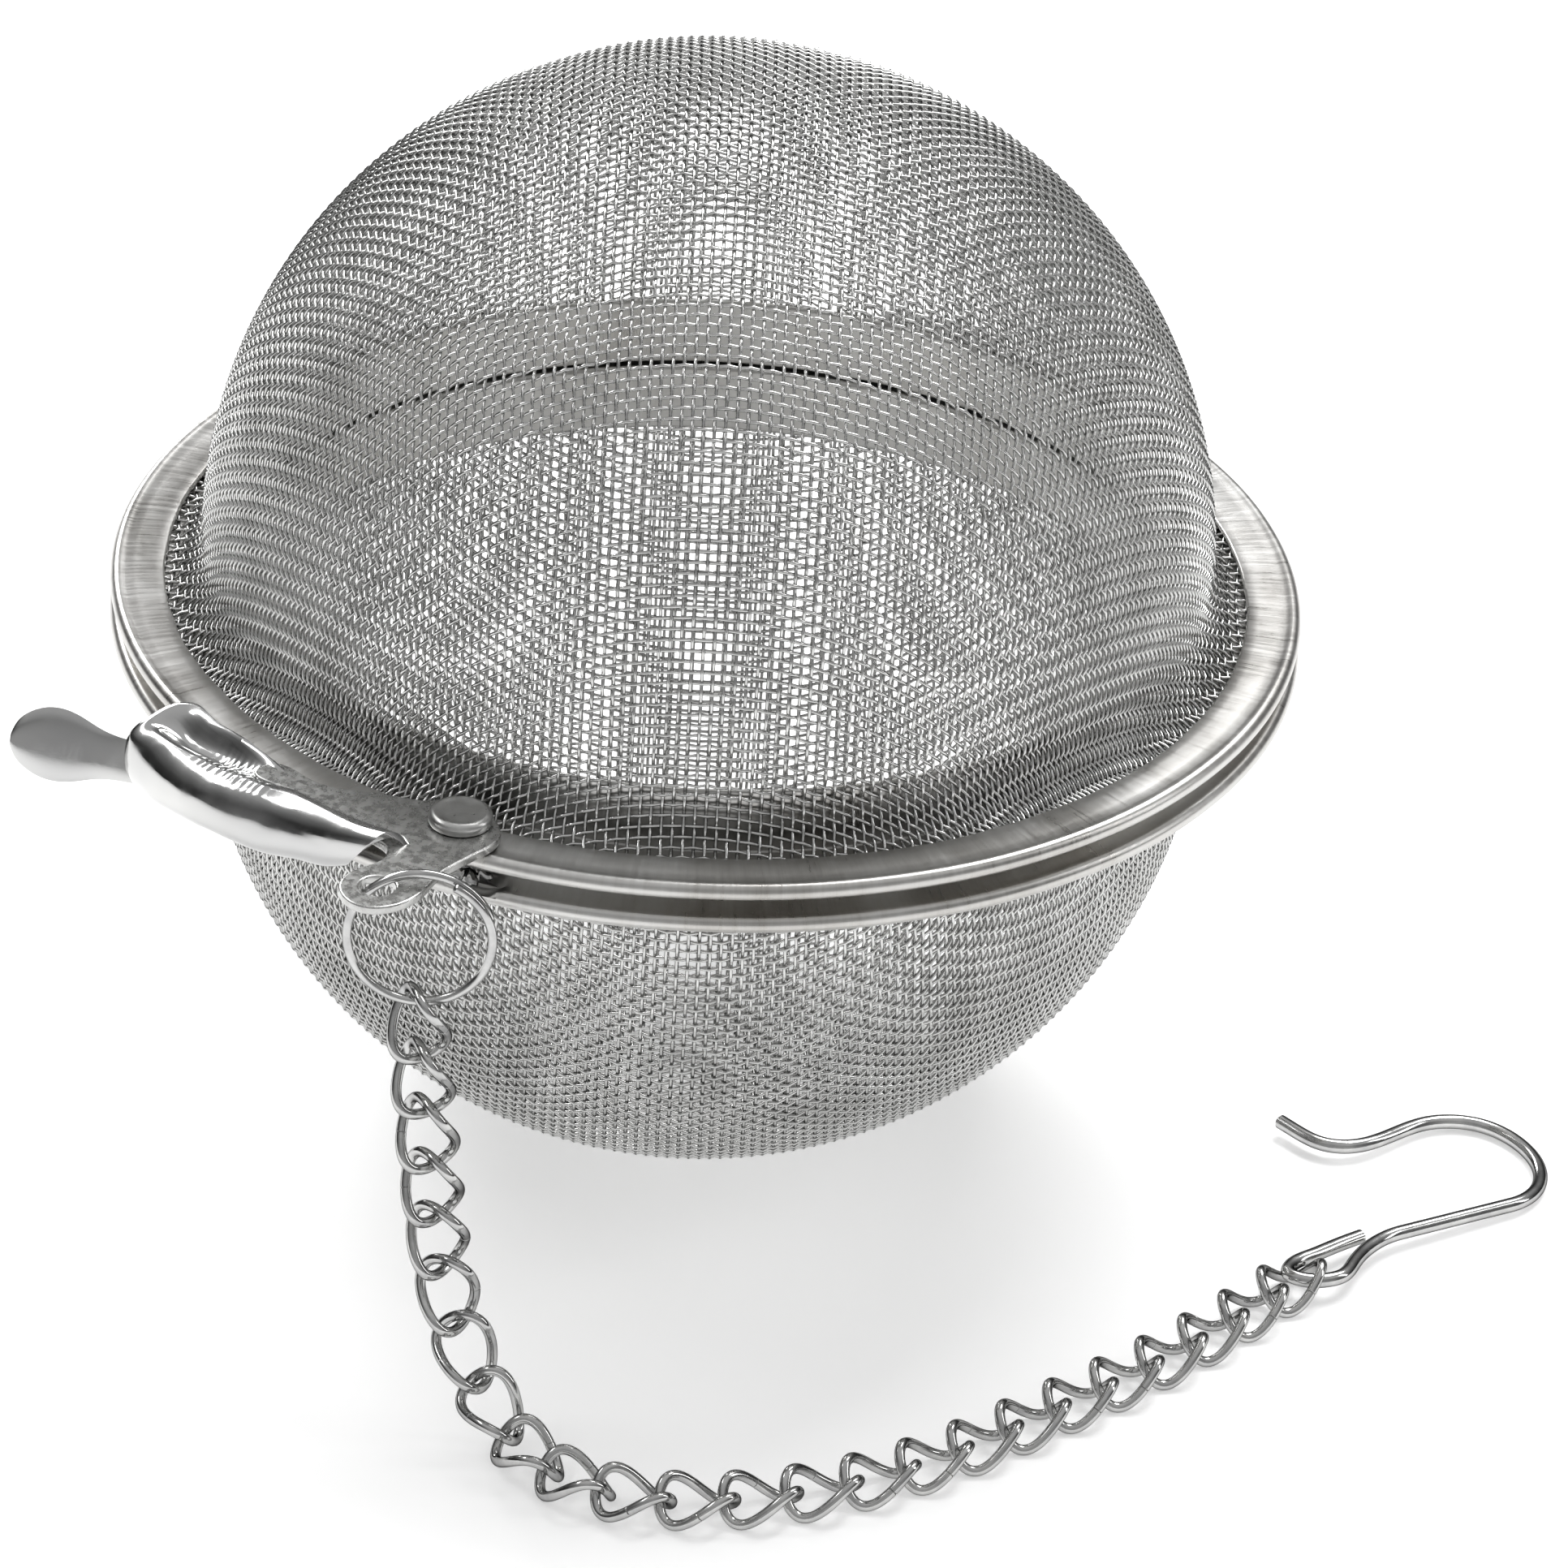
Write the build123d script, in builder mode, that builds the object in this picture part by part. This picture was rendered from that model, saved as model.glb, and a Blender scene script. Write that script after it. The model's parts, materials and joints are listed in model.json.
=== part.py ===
from build123d import *
from math import asin, atan2, cos, degrees, pi, radians, sin
import os

# Tea infuser: two wire-cloth domes in folded rims, hinged at +Y and latched at -Y.
# Origin: middle of the small flat under the lower dome. +Z up. Millimetres.

# Overall
rim_radius = 40.0
parting_height = 37.6
parting_gap = 0.15

# Folded sheet rims
sheet = 0.40
collar_inner_radius = 33.1
collar_height = 5.0
flange_inner_radius = 36.3
flange_height = 1.80
bead_radius = 0.60
contact_outer_radius = 37.9

# Wire-cloth domes, drawn as thin shells
cloth = 0.25
dome_radius = 34.0
dome_wall_height = 4.6
dome_rise = 33.7
cloth_edge_radius = 38.0

# Rivet
rivet_radius_from_axis = 37.6
rivet_shank_radius = 0.90
rivet_head_radius = 2.10
rivet_head_height = 0.80
rivet_tail_radius = 1.30
rivet_clearance = 0.05
pocket_radius = 1.80

# Latch lever
lever_sheet = 0.60
lever_lift = 0.05
lever_wall_inner = 41.8
lever_wall_outer = 42.5
lever_hood_inner = 39.0
lever_pivot_round = 3.00
lever_wall_start = 8.0
lever_end = 36.0
lever_lip_gap = 0.65
lever_lip_inner = 39.6
ear_radius = 2.35
ear_hole_radius = 1.32
ear_from_axis = 47.2
ear_angle = 1.4
tab_length = 8.8
tab_height = 5.4
tab_neck_height = 2.8
tab_bend = 45.0

# Hinge
hinge_axis_radius = 41.3
knuckle_radius = 0.90
hinge_pin_radius = 0.45
hinge_pin_clearance = 0.04
leaf_sheet = 0.45
leaf_width = 9.0
middle_knuckle = 3.6
knuckle_gap = 0.15
pin_head_radius = 0.80
pin_head_length = 0.40

# Split ring
ring_wire = 0.60
ring_mean_radius = 4.65
ring_turns = 1.12
ring_pitch = 0.68
ring_drop = 3.55
ring_side_shift = 2.70
hang_facing = 23.5

# Curb chain
link_count = 24
link_wire = 0.70
link_half_length = 2.50
link_half_width = 1.74
link_twist_height = 1.04
link_play = 0.16
link_pitch = 2 * link_half_length - link_wire - link_play
link_butt_gap = 0.06
most_link_roll = 11.0

# Cup hook
hook_wire = 1.00
hook_eye_radius = 1.52
hook_eye_length = 5.6
hook_shank_start = 8.4
hook_shank = 17.4
hook_length = 22.4
hook_leg_reach = 12.2
hook_tip_rise = 4.6
hook_turn = -20.0

os.makedirs("parts", exist_ok=True)


def save(piece, name):
    piece.part.label = name
    export_step(piece.part, "parts/" + name + ".step")


def around(radius, angle):
    """A point at this radius, at this angle clockwise from the rivet as seen from above."""
    turn = radians(-90 - angle)
    return (radius * cos(turn), radius * sin(turn))


# ---------------------------------------------------------------- rims
def rim_section(side):
    """Half section of one folded rim, above (1) or below (-1) the parting plane."""
    def at(radius, height):
        return (radius, parting_height + side * height)

    bead_centre = rim_radius - bead_radius
    bead_low = flange_height - 2 * bead_radius
    contact_top = parting_gap + sheet
    Polyline(
        at(bead_centre, bead_low),
        at(bead_centre - 0.60, bead_low),
        at(contact_outer_radius, parting_gap),
        at(collar_inner_radius, parting_gap),
        at(collar_inner_radius, collar_height),
        at(collar_inner_radius + sheet, collar_height),
        at(collar_inner_radius + sheet, contact_top),
        at(contact_outer_radius - 0.10, contact_top),
        at(bead_centre - 0.70, bead_low + sheet),
        at(bead_centre - 0.70, flange_height - sheet),
        at(flange_inner_radius, flange_height - sheet),
        at(flange_inner_radius, flange_height),
        at(bead_centre, flange_height),
    )
    ThreePointArc(
        at(bead_centre, flange_height),
        at(rim_radius, flange_height - bead_radius),
        at(bead_centre, bead_low),
    )


with BuildPart() as upper_rim:
    with BuildSketch(Plane.XZ):
        with BuildLine():
            rim_section(1)
        make_face()
    revolve(axis=Axis.Z)
    fold_edges = upper_rim.edges().filter_by(GeomType.CIRCLE)
    collar_edges = fold_edges.filter_by(lambda e: abs(e.radius - collar_inner_radius) < 0.01)
    fillet(collar_edges.sort_by(Axis.Z)[0], sheet * 0.7)
    with Locations((0, -rivet_radius_from_axis, parting_height)):
        Cylinder(
            rivet_shank_radius + 0.02,
            2 * flange_height,
            align=(Align.CENTER, Align.CENTER, Align.MIN),
            mode=Mode.SUBTRACT,
        )
save(upper_rim, "upper_rim")

with BuildPart() as lower_rim:
    with BuildSketch(Plane.XZ):
        with BuildLine():
            rim_section(-1)
        make_face()
    revolve(axis=Axis.Z)
    fold_edges = lower_rim.edges().filter_by(GeomType.CIRCLE)
    collar_edges = fold_edges.filter_by(lambda e: abs(e.radius - collar_inner_radius) < 0.01)
    fillet(collar_edges.sort_by(Axis.Z)[-1], sheet * 0.7)
    # Pocket in the contact face that takes the rivet tail
    with Locations((0, -rivet_radius_from_axis, parting_height)):
        Cylinder(
            pocket_radius,
            parting_gap + sheet + 0.30,
            align=(Align.CENTER, Align.CENTER, Align.MAX),
            mode=Mode.SUBTRACT,
        )
save(lower_rim, "lower_rim")


# ---------------------------------------------------------------- domes
def dome_line(side, inward):
    """One face of the cloth from the pole to the clamped edge, set inward by this much."""
    def at(radius, height):
        return (radius, parting_height + side * height)

    wall = dome_radius - inward
    rise = dome_rise - inward
    under_flange = flange_height - sheet - inward
    flare_end = flange_inner_radius - 0.3 + inward
    arc_centre = at(0, dome_wall_height)
    if side > 0:
        pole = dome_wall_height + rise
        EllipticalCenterArc(arc_centre, wall, rise, start_angle=90, arc_size=-90)
    else:
        # The lower dome is pressed flat where it stands
        pole = parting_height - inward
        flat_turn = degrees(asin((pole - dome_wall_height) / rise))
        EllipticalCenterArc(arc_centre, wall, rise, start_angle=-flat_turn, arc_size=flat_turn)
        Line(at(0, pole), at(wall * cos(radians(flat_turn)), pole))
    Spline(
        at(wall, dome_wall_height),
        at(flare_end, under_flange),
        tangents=((0, -side), (1, 0)),
    )
    Line(at(flare_end, under_flange), at(cloth_edge_radius, under_flange))
    return at(0, pole), at(cloth_edge_radius, under_flange)


def dome_section(side):
    """Closed half section of one cloth dome."""
    outer_pole, outer_edge = dome_line(side, 0)
    inner_pole, inner_edge = dome_line(side, cloth)
    Line(outer_pole, inner_pole)
    Line(outer_edge, inner_edge)


with BuildPart() as upper_mesh:
    with BuildSketch(Plane.XZ):
        with BuildLine():
            dome_section(1)
        make_face()
    revolve(axis=Axis.Z)
    with Locations((0, -rivet_radius_from_axis, parting_height)):
        Cylinder(
            rivet_shank_radius + 0.02,
            2 * flange_height,
            align=(Align.CENTER, Align.CENTER, Align.MIN),
            mode=Mode.SUBTRACT,
        )
save(upper_mesh, "upper_mesh")

with BuildPart() as lower_mesh:
    with BuildSketch(Plane.XZ):
        with BuildLine():
            dome_section(-1)
        make_face()
    revolve(axis=Axis.Z)
save(lower_mesh, "lower_mesh")

# ---------------------------------------------------------------- rivet
lever_low = parting_height + flange_height + lever_lift
lever_top = lever_low + lever_sheet
rivet_x, rivet_y = around(rivet_radius_from_axis, 0)

with BuildPart() as latch_rivet:
    # Head, bearing on the lever
    with BuildSketch(Plane.XY.offset(lever_top + rivet_clearance)):
        with Locations((rivet_x, rivet_y)):
            Circle(rivet_head_radius)
    extrude(amount=rivet_head_height)
    fillet(latch_rivet.edges().sort_by(Axis.Z)[-1], 0.25)
    # Shank, through the lever, the flange, the cloth and the contact sheet
    with BuildSketch(Plane.XY.offset(parting_height + parting_gap)):
        with Locations((rivet_x, rivet_y)):
            Circle(rivet_shank_radius)
    extrude(amount=lever_top + rivet_clearance - parting_height - parting_gap)
    # Peened tail, spread under the contact sheet
    with BuildSketch(Plane.XY.offset(parting_height + parting_gap)):
        with Locations((rivet_x, rivet_y)):
            Circle(rivet_tail_radius)
    extrude(amount=-0.45, taper=12)
save(latch_rivet, "latch_rivet")

# ---------------------------------------------------------------- latch lever
lip_top = parting_height - flange_height - lever_lip_gap
lip_low = lip_top - lever_sheet


def ring_band(inner, outer, first, last):
    """Outline of a band around the axis between two angles from the rivet."""
    middle = (first + last) / 2
    ThreePointArc(around(inner, first), around(inner, middle), around(inner, last))
    Line(around(inner, last), around(outer, last))
    ThreePointArc(around(outer, last), around(outer, middle), around(outer, first))
    Line(around(outer, first), around(inner, first))


with BuildPart() as latch_lever:
    # Flat plate on the upper flange, with its round pivot end and the ear for the ring
    with BuildSketch(Plane.XY.offset(lever_low)):
        with BuildLine():
            ring_band(lever_hood_inner, lever_wall_outer, 0, lever_end)
        make_face()
        with BuildLine():
            ring_band(rivet_radius_from_axis - 1.9, lever_hood_inner + 0.5, 0, 14)
        make_face()
        with Locations(around(rivet_radius_from_axis + 0.8, 0)):
            Circle(lever_pivot_round)
        with Locations(around(ear_from_axis, ear_angle)):
            Circle(ear_radius)
        with BuildLine():
            Polyline(
                around(rivet_radius_from_axis + 1.2, -4.1),
                around(lever_wall_outer - 1.0, -3.3),
                around(ear_from_axis, ear_angle - 2.7),
                around(ear_from_axis, ear_angle + 2.7),
                around(ear_from_axis - 2.8, 3.2),
                around(lever_wall_outer - 0.2, 3.6),
                around(rim_radius, 6.0),
                close=True,
            )
        make_face()
        with Locations(around(ear_from_axis, ear_angle)):
            Circle(ear_hole_radius, mode=Mode.SUBTRACT)
        with Locations((rivet_x, rivet_y)):
            Circle(rivet_shank_radius + rivet_clearance, mode=Mode.SUBTRACT)
    extrude(amount=lever_sheet)
    # Outer wall of the channel
    with BuildSketch(Plane.XY.offset(lip_low)):
        with BuildLine():
            ring_band(lever_wall_inner, lever_wall_outer, lever_wall_start, lever_end)
        make_face()
    extrude(amount=lever_top - lip_low)
    # Lip under the lower rim
    with BuildSketch(Plane.XY.offset(lip_low)):
        with BuildLine():
            ring_band(lever_lip_inner, lever_wall_outer, lever_wall_start, lever_end)
        make_face()
    extrude(amount=lever_sheet)
    # Finger tab: the wall runs on through a neck, turned outward, to an upright paddle
    tab_x, tab_y = around((lever_wall_inner + lever_wall_outer) / 2, lever_end - 0.6)
    tab_turn = radians(180 - lever_end + tab_bend)
    tab_root = Vector(tab_x, tab_y, parting_height)
    tab_out = Vector(cos(tab_turn), sin(tab_turn), 0)
    tab_plane = Plane(origin=tab_root, x_dir=tab_out, z_dir=tab_out.cross(Vector(0, 0, 1)))
    with BuildSketch(tab_plane):
        with Locations((tab_length * 0.28, 0)):
            Rectangle(tab_length * 0.56, tab_neck_height)
        with Locations((tab_length * 0.60, 0)):
            Ellipse(tab_length * 0.40, tab_height / 2)
    extrude(amount=lever_sheet / 2, both=True)
    fold_length = lever_wall_outer * radians(lever_end - lever_wall_start)
    for extreme in (-1, 0):
        folds = latch_lever.edges().filter_by(lambda e: abs(e.length - fold_length) < 0.4)
        fillet(folds.sort_by(Axis.Z)[extreme], 0.45)
save(latch_lever, "latch_lever")


# ---------------------------------------------------------------- hinge
def hinge_leaf(side, knuckle_spans):
    """One leaf: strap on the flange, drop outside the bead, knuckles on the hinge line."""
    strap_far = parting_height + side * (flange_height + leaf_sheet)
    strap_near = parting_height + side * flange_height
    strap_inner = flange_inner_radius + 1.1
    strap_outer = rim_radius + 0.05 + leaf_sheet
    with Locations((0, (strap_inner + strap_outer) / 2, (strap_far + strap_near) / 2)):
        Box(leaf_width, strap_outer - strap_inner, leaf_sheet)
    for first, last in knuckle_spans:
        middle = (first + last) / 2
        drop = flange_height + leaf_sheet
        with Locations((middle, rim_radius + 0.05 + leaf_sheet / 2, parting_height + side * drop / 2)):
            Box(last - first, leaf_sheet, drop)
        with Locations(Location((middle, hinge_axis_radius, parting_height), (0, 90, 0))):
            Cylinder(knuckle_radius, last - first)
    with Locations(Location((0, hinge_axis_radius, parting_height), (0, 90, 0))):
        Cylinder(hinge_pin_radius + hinge_pin_clearance, leaf_width + 2, mode=Mode.SUBTRACT)


knuckle_inner = middle_knuckle / 2 + knuckle_gap

with BuildPart() as hinge_leaf_upper:
    hinge_leaf(1, [(-middle_knuckle / 2, middle_knuckle / 2)])
save(hinge_leaf_upper, "hinge_leaf_upper")

with BuildPart() as hinge_leaf_lower:
    hinge_leaf(-1, [(-leaf_width / 2, -knuckle_inner), (knuckle_inner, leaf_width / 2)])
save(hinge_leaf_lower, "hinge_leaf_lower")

with BuildPart() as hinge_pin:
    with Locations(Location((0, hinge_axis_radius, parting_height), (0, 90, 0))):
        Cylinder(hinge_pin_radius, leaf_width + 0.1)
    for end in (-1, 1):
        head_x = end * (leaf_width / 2 + 0.05 + pin_head_length / 2)
        with Locations(Location((head_x, hinge_axis_radius, parting_height), (0, 90, 0))):
            Cylinder(pin_head_radius, pin_head_length)
save(hinge_pin, "hinge_pin")

# ---------------------------------------------------------------- split ring
# The ring hangs in a vertical plane that faces this direction.
facing = Vector(sin(radians(hang_facing)), -cos(radians(hang_facing)), 0)
sideways = Vector(cos(radians(hang_facing)), sin(radians(hang_facing)), 0)
ear_x, ear_y = around(ear_from_axis, ear_angle)
ear_centre = Vector(ear_x, ear_y, lever_low + lever_sheet / 2)
ring_centre = ear_centre + sideways * ring_side_shift - Vector(0, 0, ring_drop)
ring_start = 62.0

with BuildPart() as ring_shape:
    with BuildLine() as ring_path:
        Helix(ring_pitch, ring_pitch * ring_turns, ring_mean_radius)
    with BuildSketch(Plane(origin=ring_path.line @ 0, z_dir=ring_path.line % 0)):
        Circle(ring_wire / 2)
    sweep()

ring_plane = Plane(origin=ring_centre, x_dir=sideways, z_dir=facing)
with BuildPart() as split_ring:
    # The wire passes the ear and the first link near the middle of its coil
    shift = Location((0, 0, -ring_pitch * ring_turns / 2))
    turn = Location((0, 0, 0), (0, 0, ring_start - 360 * (ring_turns - 1)))
    add(ring_shape.part.moved(ring_plane.location * turn * shift))
save(split_ring, "split_ring")

# ---------------------------------------------------------------- chain
with BuildPart() as link_shape:
    with BuildLine() as link_path:
        butt = link_butt_gap / link_half_length
        link_points = []
        for step in range(41):
            turn = pi / 2 + butt / 2 + (2 * pi - butt) * step / 40
            link_points.append(
                (
                    link_half_length * cos(turn),
                    link_half_width * sin(turn),
                    -link_twist_height * sin(2 * turn),
                )
            )
        Spline(*link_points)
    with BuildSketch(Plane(origin=link_path.line @ 0, z_dir=link_path.line % 0)):
        Circle(link_wire / 2)
    sweep()

# The chain hangs from the ring, bends on to the ground and lies around the ball.
chain_lie = link_twist_height + link_wire / 2 + 0.02
ring_bottom = ring_centre - Vector(0, 0, ring_mean_radius)
wire_over_pivot = link_half_length - link_pitch / 2
chain_top = ring_bottom + Vector(0, 0, link_wire / 2 + ring_wire / 2 + 0.08 - wire_over_pivot)
hang_turn = atan2(chain_top.Y, chain_top.X)


def hanging_point(height, drift):
    """A point of the hanging run at this height, drawn sideways by the run on the ground."""
    return Vector(chain_top.X, chain_top.Y, height) + sideways * drift


def ground_point(radius, turn, lift=0.0):
    """A point on the ground this far round from where the chain hangs, in degrees."""
    here = hang_turn + radians(turn)
    return Vector(radius * cos(here), radius * sin(here), chain_lie + lift)


hang_start = sideways * 0.1 - Vector(0, 0, 1)
chain_end = Vector(-sin(hang_turn + radians(76)), cos(hang_turn + radians(76)), 0)
with BuildLine() as chain_path:
    Spline(
        chain_top,
        hanging_point(25.5, 0.6),
        hanging_point(17.0, 1.5),
        hanging_point(9.0, 2.8),
        ground_point(49.4, 10.6, 0.30),
        ground_point(52.5, 15.4, 0.15),
        ground_point(53.7, 20.0, 0.12),
        ground_point(53.7, 24.5),
        ground_point(52.8, 32.8),
        ground_point(50.8, 42.4),
        ground_point(48.6, 52.5),
        ground_point(47.7, 63),
        ground_point(47.7, 73.5),
        ground_point(48.4, 82),
        ground_point(49.8, 90),
        tangents=(hang_start, chain_end),
    )


def next_along(path, start, distance):
    """The length along the path at which the straight distance from start is reached."""
    origin = path.position_at(start, position_mode=PositionMode.LENGTH)
    low = start + distance
    high = start + 1.3 * distance
    for _ in range(40):
        middle = (low + high) / 2
        if (path.position_at(middle, position_mode=PositionMode.LENGTH) - origin).length < distance:
            low = middle
        else:
            high = middle
    return (low + high) / 2


chain_wire = chain_path.wire()
pivot_points = [chain_wire.position_at(0)]
along = 0.0
for _ in range(link_count):
    along = next_along(chain_wire, along, link_pitch)
    pivot_points.append(chain_wire.position_at(along, position_mode=PositionMode.LENGTH))


def wanted_normal(index, ahead):
    """The way a link's flat would face: turned on the ring at first, then level on the ground."""
    settle = min(1.0, max(0.0, (index - 1) / 7))
    hang_roll = radians(-20 + 60 * settle)
    hanging = facing * cos(hang_roll) + sideways * sin(hang_roll)
    lying = Vector(0, 0, 1)
    level = min(1.0, max(0.0, 1 + ahead.Z))
    return hanging * (1 - level) + lying * level


# Frame of each link: X along the chain, Z square to its flat, rolled only a little from the link before.
link_planes = []
for number in range(link_count):
    first = pivot_points[number]
    second = pivot_points[number + 1]
    ahead = (second - first).normalized()
    wanted = wanted_normal(number, ahead)
    wanted = (wanted - ahead * wanted.dot(ahead)).normalized()
    if link_planes:
        carried = link_planes[-1].z_dir
        carried = (carried - ahead * carried.dot(ahead)).normalized()
        aside = ahead.cross(carried)
        roll = atan2(wanted.dot(aside), wanted.dot(carried))
        roll = max(-radians(most_link_roll), min(radians(most_link_roll), roll))
        wanted = carried * cos(roll) + aside * sin(roll)
    link_planes.append(Plane(origin=(first + second) * 0.5, x_dir=ahead, z_dir=wanted))

for number, plane in enumerate(link_planes):
    with BuildPart() as chain_link:
        add(link_shape.part.moved(plane.location))
    save(chain_link, f"chain_link_{number + 1:02d}")

# ---------------------------------------------------------------- cup hook
# Drawn flat from the middle of the eye: X runs to the bend, Y towards the free leg.
shank_side = 1.50
back_wire_side = shank_side + 0.65

with BuildPart() as hook_shape:
    with BuildLine() as hook_path:
        shank_start = (hook_shank_start, shank_side, 0)
        shank_end = (hook_shank, shank_side, 0)
        Spline(
            (hook_eye_length, back_wire_side, 0),
            (hook_eye_length / 2, back_wire_side - 0.42, 0),
            (1.0, shank_side - 0.10, 0),
            (-0.7, 1.00, 0),
            (-hook_eye_radius, 0.10, 0),
            (-1.05, -0.85, 0),
            (0.3, -hook_eye_radius, 0),
            (1.7, -hook_eye_radius, 0),
            (3.3, -0.50, 0),
            (hook_eye_length, shank_side - 0.62, 0),
            shank_start,
            tangents=((-1, -0.12, 0), (1, 0, 0)),
        )
        Line(shank_start, shank_end)
        Spline(
            shank_end,
            (hook_length - 3.6, shank_side + 0.22, 0),
            (hook_length - 2.2, shank_side + 0.95, 0),
            (hook_length - 0.55, shank_side + 3.1, 0),
            (hook_length, shank_side + 5.9, 0),
            (hook_length - 1.2, shank_side + 9.5, 0),
            (hook_length - 4.1, hook_leg_reach + 0.40, 0),
            (hook_length - 8.8, hook_leg_reach - 0.10, 0),
            (hook_length - 11.4, hook_leg_reach + 0.05, 0),
            (hook_length - 12.75, hook_leg_reach + 1.00, 0),
            (hook_length - 13.45, hook_leg_reach + 2.60, 0),
            (hook_length - 13.9, hook_leg_reach + hook_tip_rise, 0),
        )
    with BuildSketch(Plane(origin=hook_path.line @ 0, z_dir=hook_path.line % 0)):
        Circle(hook_wire / 2)
    sweep()

# The eye is threaded on the last link, level with it. The bend rests on the ground.
hook_pivot = pivot_points[-1]
last_ahead = (pivot_points[-1] - pivot_points[-2]).normalized()
hook_heading = degrees(atan2(last_ahead.Y, last_ahead.X)) + hook_turn
hook_slope = degrees(atan2(hook_pivot.Z - hook_wire / 2, hook_length))
with BuildPart() as cup_hook:
    hook_place = Location(
        (hook_pivot.X, hook_pivot.Y, hook_pivot.Z),
        (0, hook_slope, hook_heading),
        Extrinsic.XYZ,
    )
    add(hook_shape.part.moved(hook_place))
save(cup_hook, "cup_hook")
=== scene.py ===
import json
from math import asin, atan2, cos, degrees, hypot, pi, radians, sin

import bpy
import numpy as np
from mathutils import Matrix, Vector, noise


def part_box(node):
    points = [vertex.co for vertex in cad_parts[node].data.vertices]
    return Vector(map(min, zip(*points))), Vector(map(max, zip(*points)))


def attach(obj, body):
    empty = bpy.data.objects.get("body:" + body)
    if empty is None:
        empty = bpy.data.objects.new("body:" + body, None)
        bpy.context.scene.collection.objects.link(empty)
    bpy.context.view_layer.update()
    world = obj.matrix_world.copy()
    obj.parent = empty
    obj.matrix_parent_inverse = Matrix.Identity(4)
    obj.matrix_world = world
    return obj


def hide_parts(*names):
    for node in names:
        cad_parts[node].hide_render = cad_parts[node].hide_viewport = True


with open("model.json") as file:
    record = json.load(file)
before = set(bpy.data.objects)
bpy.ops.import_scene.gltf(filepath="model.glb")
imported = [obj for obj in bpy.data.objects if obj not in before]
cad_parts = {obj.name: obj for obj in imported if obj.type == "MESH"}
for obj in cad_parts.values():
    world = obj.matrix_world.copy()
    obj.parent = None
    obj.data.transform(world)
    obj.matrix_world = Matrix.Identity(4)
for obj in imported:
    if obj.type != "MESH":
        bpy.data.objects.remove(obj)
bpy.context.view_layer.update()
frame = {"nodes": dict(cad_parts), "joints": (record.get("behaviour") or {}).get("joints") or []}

joint_of = {joint["name"]: joint for joint in frame["joints"]}

# A wire-mesh ball infuser that stands on its lower dome, with its chain and hook on the table.
# The model is worked out in millimetres and made in metres.
MM = 0.001
UP = np.array([0.0, 0.0, 1.0])

# ---------------------------------------------------------------- read from the frame
rim_low, rim_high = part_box("upper_rim")
lower_rim_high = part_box("lower_rim")[1]
RIM_RADIUS = rim_high.x / MM
PARTING = (rim_low.z + lower_rim_high.z) / 2 / MM
FLANGE_HEIGHT = 1.80
COLLAR_HEIGHT = rim_high.z / MM - PARTING
DOME_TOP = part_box("upper_mesh")[1].z / MM - PARTING
RIVET_RADIUS = -joint_of["latch_pivot"]["pos_m"][1] / MM
LEVER_LOW = joint_of["latch_pivot"]["pos_m"][2] / MM - PARTING
CHAIN_LINKS = sum(1 for name in frame["nodes"] if name.startswith("chain_link_"))

# ---------------------------------------------------------------- driving dimensions, millimetres
SHEET = 0.40
PARTING_GAP = 0.15
COLLAR_INNER = 33.1
FLANGE_INNER = 36.3
BEAD_RADIUS = 0.60
CONTACT_OUTER = 37.9

DOME_RADIUS = 34.0
DOME_WALL = 4.6
CLOTH_WIRE = 0.225
CLOTH_PITCH = 0.71
CLOTH_EDGE = 37.5
CLOTH_TURN = 23.5
CLOTH_SIDES = 6
CLOTH_GROUPS = 3
RIVET_PUNCH = 1.2

LEVER_SHEET = 0.60
EAR = (-1.15, -47.2)
EAR_HOLE = 1.32
PLATE_EDGE = 0.13

TAIL_AT = (1.35, -38.90)
# Pocket in the lower rim for the rivet's tail: its place across, its radius from the axis, its depth
TAIL_POCKET = (2.1, 39.0, 0.75)

RING_WIRE = 0.60
RING_RADIUS = 4.65
RING_TURNS = 1.12
RING_PITCH = 0.68
RING_START = 62.0

LINK_WIRE = 0.70
LINK_HALF_LENGTH = 2.50
LINK_HALF_WIDTH = 1.74
LINK_TWIST = -1.04
LINK_BUTT_GAP = 0.06

HOOK_WIRE = 1.00
HOOK_EYE = 1.52
HOOK_EYE_LENGTH = 5.6
HOOK_SHANK_START = 8.4
HOOK_SHANK = 17.4
HOOK_LENGTH = 22.4
HOOK_LEG_REACH = 12.2
HOOK_TIP_RISE = 4.6
HOOK_SIDE = 1.50
HOOK_TURN = -20.0


def around(radius, angle, height=0.0):
    """A point at a radius and height over the parting plane, clockwise from the rivet seen from above."""
    turn = radians(-90 - angle)
    return np.array([radius * cos(turn), radius * sin(turn), PARTING + height])


# ---------------------------------------------------------------- meshes
def make_piece(name, points, faces, material, sharp=38):
    """A smooth-shaded mesh object from points in millimetres."""
    if isinstance(faces, np.ndarray):
        faces = faces.tolist()
    mesh = bpy.data.meshes.new(name)
    mesh.from_pydata((np.asarray(points) * MM).tolist(), [], faces)
    mesh.polygons.foreach_set("use_smooth", [True] * len(mesh.polygons))
    if sharp:
        mesh.set_sharp_from_angle(angle=radians(sharp))
    mesh.materials.append(material)
    mesh.update()
    piece = bpy.data.objects.new(name, mesh)
    bpy.context.scene.collection.objects.link(piece)
    return piece


def place(piece, body, slot, *nodes):
    """The piece rides on a body and stands for its CAD nodes, which are hidden; its slot is not used."""
    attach(piece, body)
    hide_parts(*nodes)


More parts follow.
